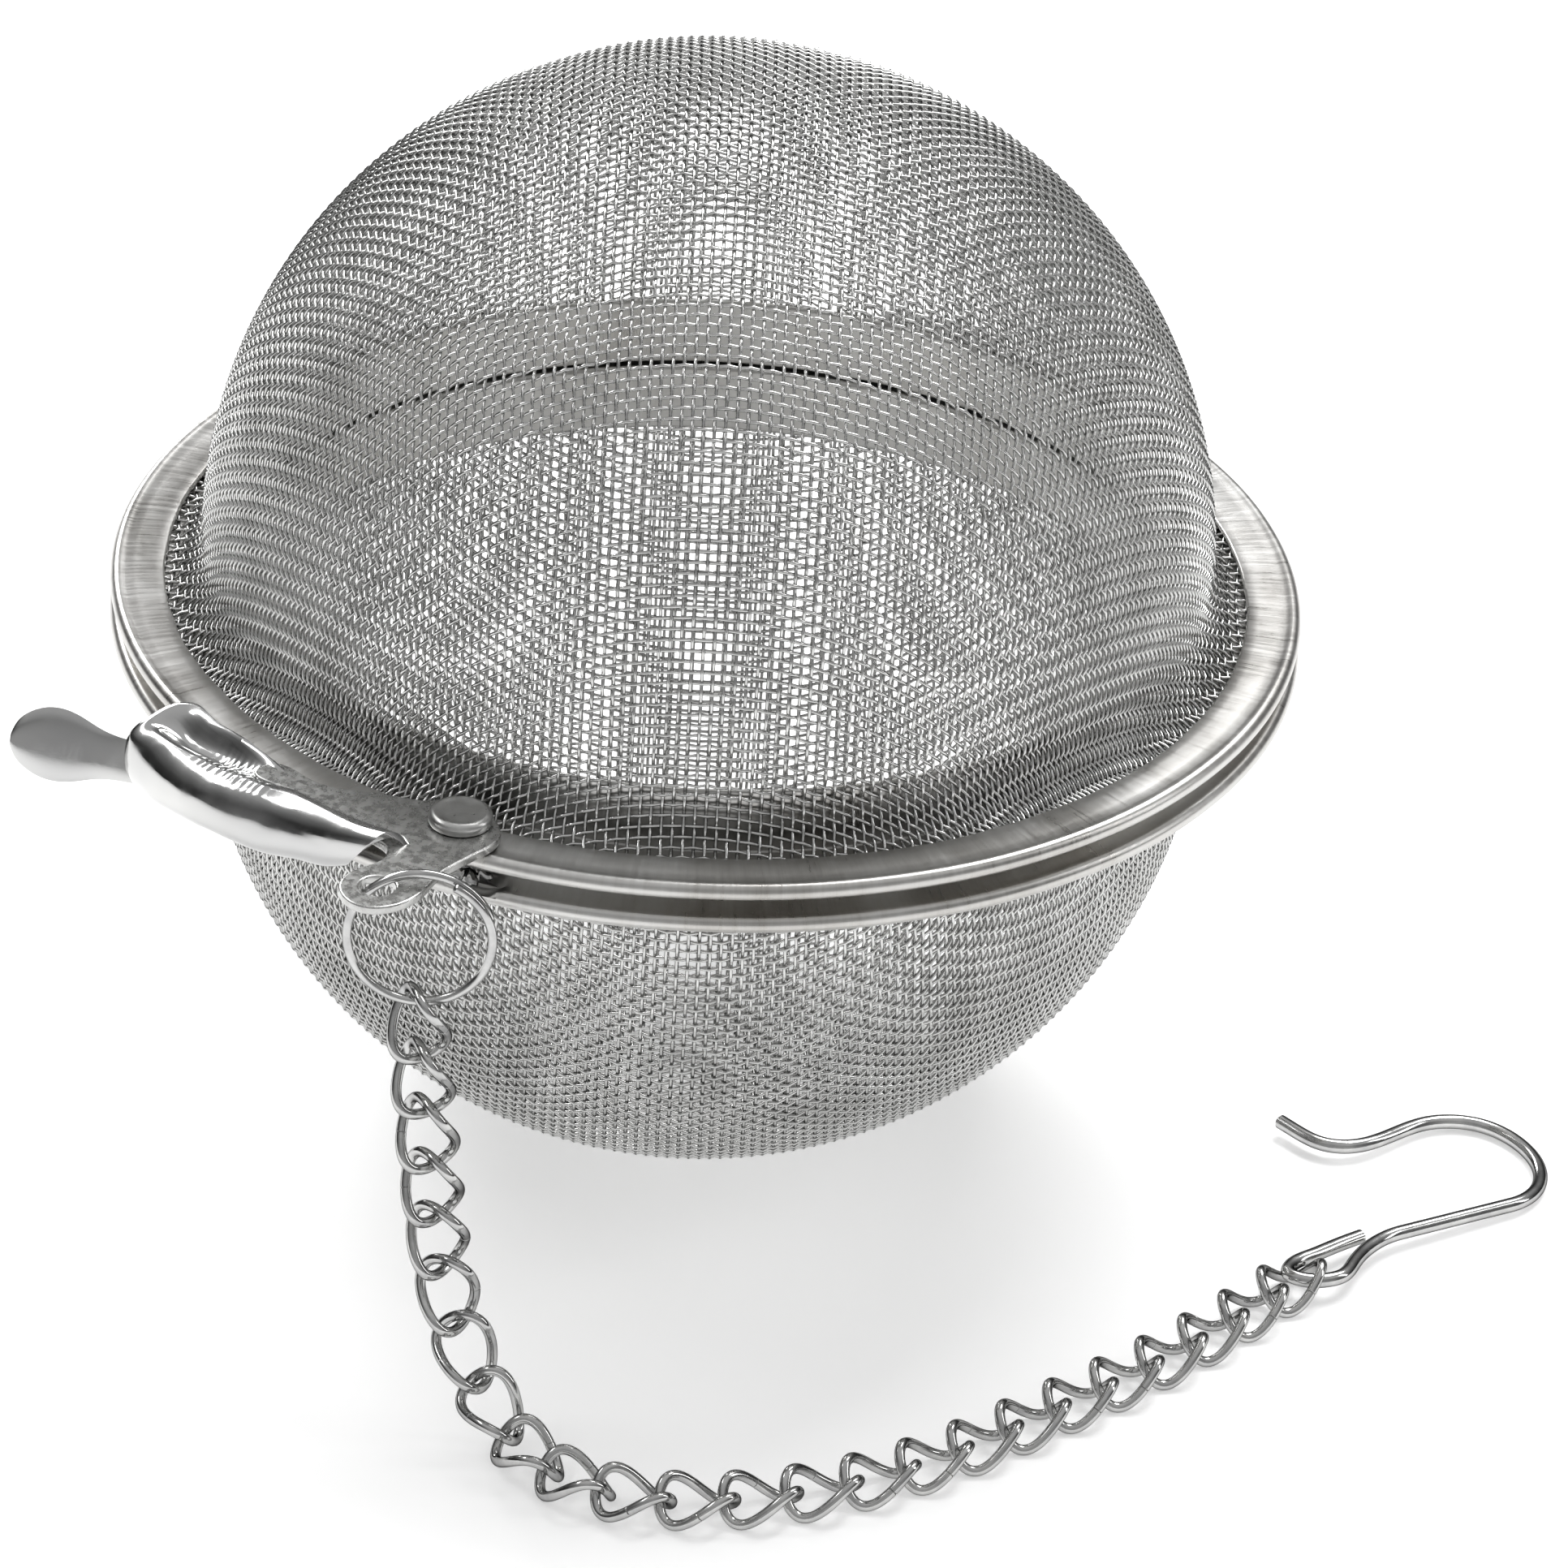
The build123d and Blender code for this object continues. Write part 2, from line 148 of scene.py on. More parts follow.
def grid_faces(rows, columns, closed_rows=False, closed_columns=False):
    """Quads between the points of a grid numbered row by row."""
    faces = []
    for i in range(rows if closed_rows else rows - 1):
        for j in range(columns if closed_columns else columns - 1):
            a, b = i * columns, (i + 1) % rows * columns
            k = (j + 1) % columns
            faces.append((a + j, a + k, b + k, b + j))
    return faces


def smooth_path(points, count, start=None, end=None):
    """A smooth curve through the points, with the end directions given or left free."""
    points = np.asarray(points, float)
    spans = np.linalg.norm(np.diff(points, axis=0), axis=1)
    knots = np.r_[0, np.cumsum(spans)]
    size = len(points)
    system = np.zeros((size, size))
    target = np.zeros((size, points.shape[1]))
    for i in range(1, size - 1):
        system[i, i - 1] = spans[i]
        system[i, i] = 2 * (spans[i - 1] + spans[i])
        system[i, i + 1] = spans[i - 1]
        before = (points[i] - points[i - 1]) / spans[i - 1]
        after = (points[i + 1] - points[i]) / spans[i]
        target[i] = 3 * (spans[i] * before + spans[i - 1] * after)
    for row, direction, span, chord in (
        (0, start, spans[0], points[1] - points[0]),
        (size - 1, end, spans[-1], points[-1] - points[-2]),
    ):
        system[row, row] = 1
        if direction is None:
            system[row, 1 if row == 0 else size - 2] = 0.5
            target[row] = 1.5 * chord / span
        else:
            target[row] = np.asarray(direction, float) / np.linalg.norm(direction)
    slopes = np.linalg.solve(system, target)
    along = np.linspace(0, knots[-1], count)
    cell = np.clip(np.searchsorted(knots, along, side="right") - 1, 0, size - 2)
    u = ((along - knots[cell]) / spans[cell])[:, None]
    span = spans[cell][:, None]
    return (
        (2 * u**3 - 3 * u**2 + 1) * points[cell]
        + (u**3 - 2 * u**2 + u) * span * slopes[cell]
        + (-2 * u**3 + 3 * u**2) * points[cell + 1]
        + (u**3 - u**2) * span * slopes[cell + 1]
    )


# A cut wire's end stands out a little and is narrower, as parts of the wire's radius
CUT_END_BULGE = 0.25
CUT_END_SIZE = 0.72


def wire_mesh(path, wire, sides):
    """Points and faces of a round wire along a path, with slightly rounded cut ends."""
    path = np.asarray(path, float)
    ahead = np.gradient(path, axis=0)
    ahead /= np.linalg.norm(ahead, axis=1)[:, None]
    side = np.cross(ahead[0], UP if abs(ahead[0][2]) < 0.9 else np.array([1.0, 0, 0]))
    sidewise = [side / np.linalg.norm(side)]
    for direction in ahead[1:]:
        side = sidewise[-1] - direction * sidewise[-1].dot(direction)
        sidewise.append(side / np.linalg.norm(side))
    sidewise = np.array(sidewise)
    upright = np.cross(ahead, sidewise)
    turns = 2 * pi * np.arange(sides) / sides
    circle = (
        sidewise[:, None, :] * np.cos(turns)[None, :, None]
        + upright[:, None, :] * np.sin(turns)[None, :, None]
    )
    radius = wire / 2
    points = (path[:, None, :] + radius * circle).reshape(-1, 3)
    faces = grid_faces(len(path), sides, closed_columns=True)
    for row, out in ((0, -1), (len(path) - 1, 1)):
        cap = path[row] + ahead[row] * out * radius * CUT_END_BULGE + circle[row] * radius * CUT_END_SIZE
        first = len(points)
        points = np.vstack([points, cap])
        edge = row * sides
        for j in range(sides):
            k = (j + 1) % sides
            quad = (edge + j, edge + k, first + k, first + j)
            faces.append(quad[::-1] if row == 0 else quad)
        cap_face = tuple(range(first, first + sides))
        faces.append(cap_face[::-1] if row == 0 else cap_face)
    return points, faces


# ---------------------------------------------------------------- materials
class Shader:
    """A short way to lay out one procedural material."""

    def __init__(self, name, metallic=1.0, **fixed):
        self.material = bpy.data.materials.new(name)
        self.material.use_nodes = True
        self.tree = self.material.node_tree
        self.surface = self.tree.nodes["Principled BSDF"]
        self.surface.inputs["Metallic"].default_value = metallic
        for socket, value in fixed.items():
            self.surface.inputs[socket.replace("_", " ")].default_value = value
        self.place = self.node("ShaderNodeTexCoord").outputs["Object"]

    def node(self, kind, **settings):
        made = self.tree.nodes.new(kind)
        for key, value in settings.items():
            setattr(made, key, value)
        return made

    def link(self, source, target):
        self.tree.links.new(source, target)

    def math(self, operation, first, second=None):
        made = self.node("ShaderNodeMath", operation=operation)
        for socket, value in zip(made.inputs, (first, second)):
            if isinstance(value, (int, float)):
                socket.default_value = value
            elif value is not None:
                self.link(value, socket)
        return made.outputs[0]

    def polar(self, radial=1.0, turn=1.0, height=1.0):
        """Places as radius, length round the axis and height, each stretched by a factor."""
        apart = self.node("ShaderNodeSeparateXYZ")
        self.link(self.place, apart.inputs[0])
        x, y, z = apart.outputs
        squares = self.math("ADD", self.math("MULTIPLY", x, x), self.math("MULTIPLY", y, y))
        radius = self.math("SQRT", squares)
        angle = self.math("ARCTAN2", y, x)
        joined = self.node("ShaderNodeCombineXYZ")
        self.link(self.math("MULTIPLY", radius, radial), joined.inputs[0])
        self.link(self.math("MULTIPLY", angle, turn * RIM_RADIUS * MM), joined.inputs[1])
        self.link(self.math("MULTIPLY", z, height), joined.inputs[2])
        return joined.outputs[0]

    def noise(self, scale, detail=4.0, roughness=0.55, where=None, distortion=0.0):
        made = self.node("ShaderNodeTexNoise")
        made.inputs["Scale"].default_value = scale
        made.inputs["Detail"].default_value = detail
        made.inputs["Roughness"].default_value = roughness
        made.inputs["Distortion"].default_value = distortion
        self.link(where or self.place, made.inputs["Vector"])
        return made.outputs["Fac"]

    def band(self, value, low, high, first, last):
        made = self.node("ShaderNodeMapRange")
        made.inputs["From Min"].default_value = low
        made.inputs["From Max"].default_value = high
        made.inputs["To Min"].default_value = first
        made.inputs["To Max"].default_value = last
        self.link(value, made.inputs["Value"])
        return made.outputs[0]

    def colours(self, value, *stops):
        ramp = self.node("ShaderNodeValToRGB")
        elements = ramp.color_ramp.elements
        while len(elements) < len(stops):
            elements.new(0.5)
        for element, (position, colour) in zip(elements, stops):
            element.position = position
            element.color = (*colour, 1)
        self.link(value, ramp.inputs[0])
        return ramp.outputs[0]

    def paint(self, colour):
        self.link(colour, self.surface.inputs["Base Color"])

    def rough(self, value):
        self.link(value, self.surface.inputs["Roughness"])

    def bump(self, height, strength, distance_mm):
        made = self.node("ShaderNodeBump")
        made.inputs["Strength"].default_value = strength
        made.inputs["Distance"].default_value = distance_mm * MM
        self.link(height, made.inputs["Height"])
        self.link(made.outputs[0], self.surface.inputs["Normal"])


# Edge tint of the steel wire's reflection: painted shade, darker where the wire curves away
PAINTED_EDGE_SHADE = (0.10, 0.10, 0.10, 1)


def cloth_steel():
    """Drawn wire of the cloth, a little uneven in tone."""
    look = Shader("cloth_steel")
    # Painted shade along the edges of the cloth wires, through the edge tint
    look.surface.inputs["Specular Tint"].default_value = PAINTED_EDGE_SHADE
    patch = look.noise(260, detail=3)
    look.paint(look.colours(patch, (0.30, (0.54, 0.54, 0.53)), (0.70, (0.72, 0.72, 0.71))))
    look.rough(look.band(look.noise(900, detail=2), 0.3, 0.7, 0.11, 0.20))
    return look.material


def rim_steel():
    """Pressed strip with fine scratches across the flange and faint stains."""
    look = Shader("rim_steel", Anisotropic=0.45)
    tangent = look.node("ShaderNodeTangent", direction_type="RADIAL", axis="Z")
    look.link(tangent.outputs[0], look.surface.inputs["Tangent"])
    scratches = look.noise(2600, detail=5, roughness=0.7, where=look.polar(0.06, 1.0, 0.06))
    stains = look.noise(140, detail=6, roughness=0.62, distortion=0.6)
    blotches = look.noise(42, detail=3)
    tone = look.math("ADD", look.math("MULTIPLY", stains, 0.45), look.math("MULTIPLY", blotches, 0.35))
    tone = look.math("ADD", tone, look.math("MULTIPLY", scratches, 0.20))
    look.paint(look.colours(
        tone, (0.33, (0.40, 0.385, 0.36)), (0.47, (0.56, 0.55, 0.53)), (0.66, (0.70, 0.70, 0.69)),
    ))
    wear = look.math("ADD", look.math("MULTIPLY", scratches, 0.6), look.math("MULTIPLY", stains, 0.4))
    look.rough(look.band(wear, 0.35, 0.65, 0.25, 0.44))
    look.bump(scratches, 0.35, 0.03)
    return look.material


def polished_sheet():
    """Bright rolled sheet of the lever, with smudges and short draw marks."""
    look = Shader("polished_sheet")
    smudge = look.noise(420, detail=6, roughness=0.6, distortion=0.8)
    broad = look.noise(120, detail=2)
    look.paint(look.colours(broad, (0.3, (0.50, 0.50, 0.50)), (0.7, (0.63, 0.63, 0.62))))
    look.rough(look.band(smudge, 0.35, 0.68, 0.07, 0.22))
    marks = look.noise(1500, detail=4, roughness=0.65, where=look.polar(1.0, 0.12, 1.0))
    look.bump(marks, 0.16, 0.03)
    return look.material


def pitted_sheet():
    """Bruised plate of the lever near the rivet, pitted and hammered by the forming tool."""
    look = Shader("pitted_sheet")
    pits = look.noise(1500, detail=5, roughness=0.65)
    ribs = look.noise(1900, detail=2, where=look.polar(0.25, 1.0, 1.0), distortion=1.2)
    relief = look.math("ADD", look.math("MULTIPLY", pits, 0.55), look.math("MULTIPLY", ribs, 0.45))
    look.paint(look.colours(relief, (0.40, (0.46, 0.46, 0.45)), (0.64, (0.60, 0.60, 0.59))))
    look.rough(look.band(pits, 0.35, 0.65, 0.20, 0.36))
    look.bump(relief, 0.26, 0.08)
    return look.material


def rivet_steel():
    """Satin rivet head with fine facing marks."""
    look = Shader("rivet_steel")
    marks = look.noise(1900, detail=4, roughness=0.6)
    tone = look.noise(500, detail=4, distortion=0.5)
    look.paint(look.colours(tone, (0.35, (0.42, 0.42, 0.41)), (0.65, (0.58, 0.58, 0.57))))
    look.rough(look.band(marks, 0.3, 0.7, 0.26, 0.40))
    look.bump(marks, 0.12, 0.03)
    return look.material


def bright_wire():
    """Polished wire of the ring, chain and hook, with faint drawing lines."""
    look = Shader("bright_wire")
    # Painted shade along the edges of the ring, chain and hook wires, through the edge tint
    look.surface.inputs["Specular Tint"].default_value = PAINTED_EDGE_SHADE
    tone = look.noise(650, detail=4)
    look.paint(look.colours(tone, (0.32, (0.44, 0.44, 0.44)), (0.68, (0.60, 0.60, 0.59))))
    look.rough(look.band(look.noise(1600, detail=3), 0.3, 0.7, 0.10, 0.20))
    look.bump(look.noise(2400, detail=3), 0.06, 0.02)
    return look.material


CLOTH = cloth_steel()
RIM = rim_steel()
POLISHED = polished_sheet()
PITTED = pitted_sheet()
RIVET = rivet_steel()
WIRE = bright_wire()


# ---------------------------------------------------------------- wire cloth
class Dome:
    """The middle surface of one cloth dome, as radius and height against the way from its pole."""

    def __init__(self, side):
        inward = CLOTH_WIRE
        wall = DOME_RADIUS - inward
        rise = DOME_TOP - DOME_WALL - inward
        under_flange = FLANGE_HEIGHT - SHEET - inward
        flare_end = FLANGE_INNER - 0.3 + inward
        if side > 0:
            flat_turn = pi / 2
            outline = []
        else:
            # The lower dome is pressed flat where it stands
            flat_turn = asin((PARTING - inward - DOME_WALL) / rise)
            outline = [np.c_[np.linspace(0, wall * cos(flat_turn), 200), np.full(200, PARTING - inward)]]
        turns = np.linspace(flat_turn, 0, 2400)
        outline.append(np.c_[wall * np.cos(turns), DOME_WALL + rise * np.sin(turns)])
        flare = smooth_path([(wall, DOME_WALL), (flare_end, under_flange)], 400, (0, -1), (1, 0))
        outline.append(flare[1:])
        outline.append(np.c_[np.linspace(flare_end, CLOTH_EDGE + 1, 60)[1:], np.full(59, under_flange)])
        outline = np.vstack(outline)
        steps = np.hypot(*np.diff(outline, axis=0).T)
        keep = np.r_[True, steps > 1e-9]
        outline = outline[keep]
        self.way = np.r_[0, np.cumsum(np.hypot(*np.diff(outline, axis=0).T))]
        self.radius, self.height = outline.T
        past_wall = np.argmax(self.way > self.way[-1] - 9)
        self.edge = np.interp(CLOTH_EDGE, self.radius[past_wall:], self.way[past_wall:])
        self.side = side

    def at(self, spot):
        """Points for spots on a flat map with true distances from the pole."""
        way = np.hypot(spot[..., 0], spot[..., 1]) + 1e-12
        radius = np.interp(way, self.way, self.radius) / way
        height = np.interp(way, self.way, self.height)
        return np.stack([spot[..., 0] * radius, spot[..., 1] * radius, height], -1)

    def normal(self, spot):
        """Directions out of the dome at spots on the flat map."""
        step = 0.02
        across = self.at(spot + [step, 0]) - self.at(spot - [step, 0])
        along = self.at(spot + [0, step]) - self.at(spot - [0, step])
        out = np.cross(across, along)
        return out / np.linalg.norm(out, axis=-1)[..., None]


def cloth_net(dome):
    """Crossings of square cloth laid over the dome: neighbours stay one pitch apart, as real wires do."""
    size = int(dome.edge / CLOTH_PITCH) + 1
    net = np.full((size + 1, size + 1, 2), np.nan)
    straight = np.arange(size + 1) * CLOTH_PITCH
    net[:, 0] = np.c_[straight, 0 * straight]
    net[0, :] = np.c_[0 * straight, straight]
    tiny = 1e-4
    for diagonal in range(2, 2 * size + 1):
        i = np.arange(max(1, diagonal - size), min(size, diagonal - 1) + 1)
        j = diagonal - i
        known = ~np.isnan(net[i - 1, j, 0] + net[i, j - 1, 0] + net[i - 1, j - 1, 0])
        i, j = i[known], j[known]
        if not len(i):
            break
        before_i, before_j = dome.at(net[i - 1, j]), dome.at(net[i, j - 1])

        def misfit(spot):
            here = dome.at(spot)
            return np.stack([
                ((here - before_i) ** 2).sum(-1) - CLOTH_PITCH**2,
                ((here - before_j) ** 2).sum(-1) - CLOTH_PITCH**2,
            ], -1)

        spot = net[i - 1, j] + net[i, j - 1] - net[i - 1, j - 1]
        for _ in range(12):
            error = misfit(spot)
            by_x = (misfit(spot + [tiny, 0]) - error) / tiny
            by_y = (misfit(spot + [0, tiny]) - error) / tiny
            area = by_x[:, 0] * by_y[:, 1] - by_y[:, 0] * by_x[:, 1]
            area = np.where(np.abs(area) < 1e-6, 1e-6, area)
            step = np.stack([
                error[:, 0] * by_y[:, 1] - error[:, 1] * by_y[:, 0],
                by_x[:, 0] * error[:, 1] - by_x[:, 1] * error[:, 0],
            ], -1) / area[:, None]
            length = np.hypot(*step.T)[:, None]
            spot = spot - step * np.minimum(1, 0.3 * CLOTH_PITCH / np.maximum(length, 1e-9))
        lost = np.abs(misfit(spot)).max(-1) > 1e-4
        spot[lost | (np.hypot(*spot.T) > dome.way[-1] - 0.05)] = np.nan
        net[i, j] = spot
    return net, size


def whole_net(dome):
    """The four quarters of the net as one grid of spots, with nan outside the cloth."""
    quarter, size = cloth_net(dome)
    width = 2 * size + 1
    grid = np.full((width, width, 2), np.nan)
    for i in range(-size, size + 1):
        for j in range(-size, size + 1):
            a, b, turns = i, j, 0
            while not (a >= 0 and b >= 0) and turns < 4:
                a, b, turns = b, -a, turns + 1
            x, y = quarter[a, b]
            for _ in range(turns):
                x, y = -y, x
            grid[i + size, j + size] = (x, y)
    turn = radians(CLOTH_TURN)
    x, y = grid[..., 0].copy(), grid[..., 1].copy()
    grid[..., 0] = x * cos(turn) - y * sin(turn)
    grid[..., 1] = x * sin(turn) + y * cos(turn)
    grid[~(np.hypot(grid[..., 0], grid[..., 1]) <= dome.edge)] = np.nan
    if dome.side > 0:
        # The cloth is punched out round the rivet
        spots = dome.at(np.nan_to_num(grid))
        grid[np.hypot(spots[..., 0], spots[..., 1] + RIVET_RADIUS) < RIVET_PUNCH] = np.nan
    return grid


def yarn_mesh(dome, grid, first_over):
    """Tubes along the rows of the grid, over and under the crossing wires by turns."""
    points, faces, count = [], [], 0
    turns = 2 * pi * np.arange(CLOTH_SIDES) / CLOTH_SIDES
    radius = CLOTH_WIRE / 2
    for row in range(len(grid)):
        there = ~np.isnan(grid[row, :, 0])
        edges = np.flatnonzero(np.diff(np.r_[False, there, False].astype(int)))
        for start, stop in edges.reshape(-1, 2):
            if stop - start < 3:
                continue
            spots = grid[row, start:stop]
            middles = (spots[:-1] + spots[1:]) / 2
            mixed = np.empty((2 * len(spots) - 1, 2))
            mixed[::2], mixed[1::2] = spots, middles
            out = dome.normal(mixed)
            over = np.zeros(len(mixed))
            over[::2] = np.where((np.arange(start, stop) + row) % 2 == 0, 1, -1) * first_over
            path = dome.at(mixed) + out * (over * radius)[:, None]
            ahead = np.gradient(path, axis=0)
            ahead /= np.linalg.norm(ahead, axis=1)[:, None]
            side = np.cross(out, ahead)
            side /= np.linalg.norm(side, axis=1)[:, None]
            top = np.cross(ahead, side)
            tube = (
                path[:, None, :]
                + radius * side[:, None, :] * np.cos(turns)[None, :, None]
                + radius * top[:, None, :] * np.sin(turns)[None, :, None]
            )
            index = np.arange(len(path) * CLOTH_SIDES).reshape(len(path), CLOTH_SIDES) + count
            onward = np.roll(index, -1, axis=1)
            quads = np.stack([index[:-1], onward[:-1], onward[1:], index[1:]], -1).reshape(-1, 4)
            faces.append(quads)
            points.append(tube.reshape(-1, 3))
            count += len(path) * CLOTH_SIDES
    points, faces = np.vstack(points), np.vstack(faces)
    points[:, 2] = PARTING + dome.side * points[:, 2]
    if dome.side < 0:
        faces = faces[:, ::-1]
    return points, faces


def make_cloth(side, node, body, label):
    """One dome of cloth, its warp and weft each in a few pieces so that none is too heavy."""
    dome = Dome(side)
    grid = whole_net(dome)
    for weave, rows, first_over in (("warp", grid, 1), ("weft", grid.transpose(1, 0, 2), -1)):
        length = (~np.isnan(rows[..., 0])).sum(1)
        share = np.cumsum(length) / length.sum()
        for group in range(CLOTH_GROUPS):
            mine = (share > group / CLOTH_GROUPS) & (share <= (group + 1) / CLOTH_GROUPS)
            part = np.where(mine[:, None, None], rows, np.nan)
            points, faces = yarn_mesh(dome, part, first_over)
            piece = make_piece(f"{label}_{weave}_{group + 1}", points, faces, CLOTH, sharp=0)
            place(piece, body, "wire_cloth", node)


# ---------------------------------------------------------------- rims
def wobble(angle, seed, *waves):
    """Small unevenness of hand-fed pressing, the same every time."""
    return sum(size * sin(count * angle + seed * 1.7 + k * 2.1) for k, (count, size) in enumerate(waves))


def arc_points(centre, radius, first, last, count):
    """Points on an arc between two angles in degrees."""
    turns = np.radians(np.linspace(first, last, count))
    return [(centre[0] + radius * cos(t), centre[1] + radius * sin(t)) for t in turns]


def rim_outline():
    """Half section of a folded rim, as radius and height away from the parting plane."""
    bead = RIM_RADIUS - BEAD_RADIUS
    middle = FLANGE_HEIGHT - BEAD_RADIUS
    low = FLANGE_HEIGHT - 2 * BEAD_RADIUS
    contact = PARTING_GAP + SHEET
    soft = 0.12
    outline = [(bead - 0.60, low), (CONTACT_OUTER + 0.25, PARTING_GAP + 0.08), (CONTACT_OUTER, PARTING_GAP)]
    outline += [(35.5, PARTING_GAP)]
    outline += arc_points((COLLAR_INNER + 0.35, PARTING_GAP + 0.35), 0.35, 270, 180, 6)
    outline += [(COLLAR_INNER, 2.0), (COLLAR_INNER, COLLAR_HEIGHT - soft)]
    outline += arc_points((COLLAR_INNER + SHEET / 2, COLLAR_HEIGHT - soft), SHEET / 2, 180, 0, 7)
    outline += [(COLLAR_INNER + SHEET, contact + 0.1), (COLLAR_INNER + SHEET + 0.1, contact)]
    outline += [(CONTACT_OUTER - 0.1, contact), (bead - 0.70, low + SHEET)]
    outline += [(bead - 0.70, FLANGE_HEIGHT - SHEET), (FLANGE_INNER + soft, FLANGE_HEIGHT - SHEET)]
    outline += arc_points((FLANGE_INNER + SHEET / 2, FLANGE_HEIGHT - SHEET / 2), SHEET / 2, 250, 100, 7)
    outline += [(37.2, FLANGE_HEIGHT), (38.3, FLANGE_HEIGHT - 0.03), (bead - 0.45, FLANGE_HEIGHT - 0.10)]
    outline += [(bead - 0.18, FLANGE_HEIGHT - 0.04)]
    outline += arc_points((bead, middle), BEAD_RADIUS, 90, -90, 17)
    return outline


def make_rim(side, node, body, dimple=None):
    """One rim, revolved finely, with a slightly wavy inner edge. A dimple takes the rivet's tail."""
    outline = rim_outline()
    segments = 540
    points = []
    for step in range(segments):
        angle = 2 * pi * step / segments
        edge = wobble(angle, side, (5, 0.035), (11, 0.03), (23, 0.022), (47, 0.015))
        swell = wobble(angle, side + 3, (2, 0.02), (7, 0.015), (19, 0.01))
        for radius, height in outline:
            near_edge = max(0.0, 1 - abs(radius - FLANGE_INNER) / 0.8) * (height > 1.0)
            r = radius + edge * near_edge
            h = height + swell * (height > 0.5) * (radius > FLANGE_INNER - 1)
            x, y = r * cos(angle), r * sin(angle)
            if dimple and height < 1.0 and radius > 36.5:
                across, out = x - dimple[0], hypot(x, y) - dimple[1]
                if y < 0:
                    h += dimple[2] * max(0.0, 1 - (across / 1.75) ** 2 - (out / 1.5) ** 2) ** 0.7
            points.append((x, y, PARTING + side * h))
    faces = grid_faces(segments, len(outline), closed_rows=True, closed_columns=True)
    if side > 0:
        faces = [face[::-1] for face in faces]
    piece = make_piece(node + "_sheet", points, faces, RIM)
    place(piece, body, "rim_sheet", node)


# ---------------------------------------------------------------- rivet
def lathe(name, outline, segments, material, centre, shape=None):
    """A turned piece from its half section. The first and last points lie on the axis."""
    rings = outline[1:-1]
    points = [(centre[0], centre[1], outline[0][1])]
    for radius, height in rings:
        for step in range(segments):
            angle = 2 * pi * step / segments
            x, y, z = radius * cos(angle), radius * sin(angle), height
            if shape:
                x, y, z = shape(x, y, z)
            points.append((centre[0] + x, centre[1] + y, z))
    points.append((centre[0], centre[1], outline[-1][1]))
    last = len(points) - 1
    faces = []
    for step in range(segments):
        after = (step + 1) % segments
        faces.append((0, 1 + step, 1 + after))
        for ring in range(len(rings) - 1):
            a, b = 1 + ring * segments, 1 + (ring + 1) * segments
            faces.append((a + step, b + step, b + after, a + after))
        foot = 1 + (len(rings) - 1) * segments
        faces.append((foot + after, foot + step, last))
    return make_piece(name, points, faces, material)


def make_rivet():
    """The rivet's dished head and shank, and its peened tail."""
    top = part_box("latch_rivet")[1].z / MM
    seat = PARTING + LEVER_LOW + LEVER_SHEET + 0.05
    centre = (0.0, -RIVET_RADIUS)
    head = [
        (0, top), (0.9, top - 0.01), (1.55, top - 0.02), (1.66, top + 0.02), (1.80, top),
        (1.96, top - 0.10), (2.06, top - 0.24), (2.10, top - 0.40), (2.10, seat + 0.12),
        (2.04, seat), (0.92, seat), (0.90, PARTING + PARTING_GAP), (0, PARTING + PARTING_GAP),
    ]
    piece = lathe("rivet_head", head, 96, RIVET, centre)
    place(piece, "upper_half", "rivet_metal", "latch_rivet")

    # The peened tail is split and crushed, so it spreads in ragged petals
    def crush(x, y, z):
        angle = atan2(y, x)
        reach = hypot(x, y)
        ragged = 1 + 0.16 * sin(5 * angle + 0.6) + 0.09 * sin(9 * angle + 2.0)
        lift = 0.16 * sin(7 * angle + 3 * reach) + 0.10 * sin(13 * angle + 5 * reach)
        grow = min(1.0, reach / 0.8)
        return x * ragged, y * ragged, z + lift * grow

    floor = PARTING + PARTING_GAP
    tail = [
        (0, floor - 0.02), (0.8, floor - 0.02), (1.30, floor - 0.10), (1.42, floor - 0.28),
        (1.30, floor - 0.50), (1.05, floor - 0.62), (0.80, floor - 0.52), (0.55, floor - 0.66),
        (0.30, floor - 0.48), (0, floor - 0.50),
    ]
    piece = lathe("rivet_tail", tail, 72, WIRE, TAIL_AT, crush)
    place(piece, "upper_half", "rivet_metal", "latch_rivet")


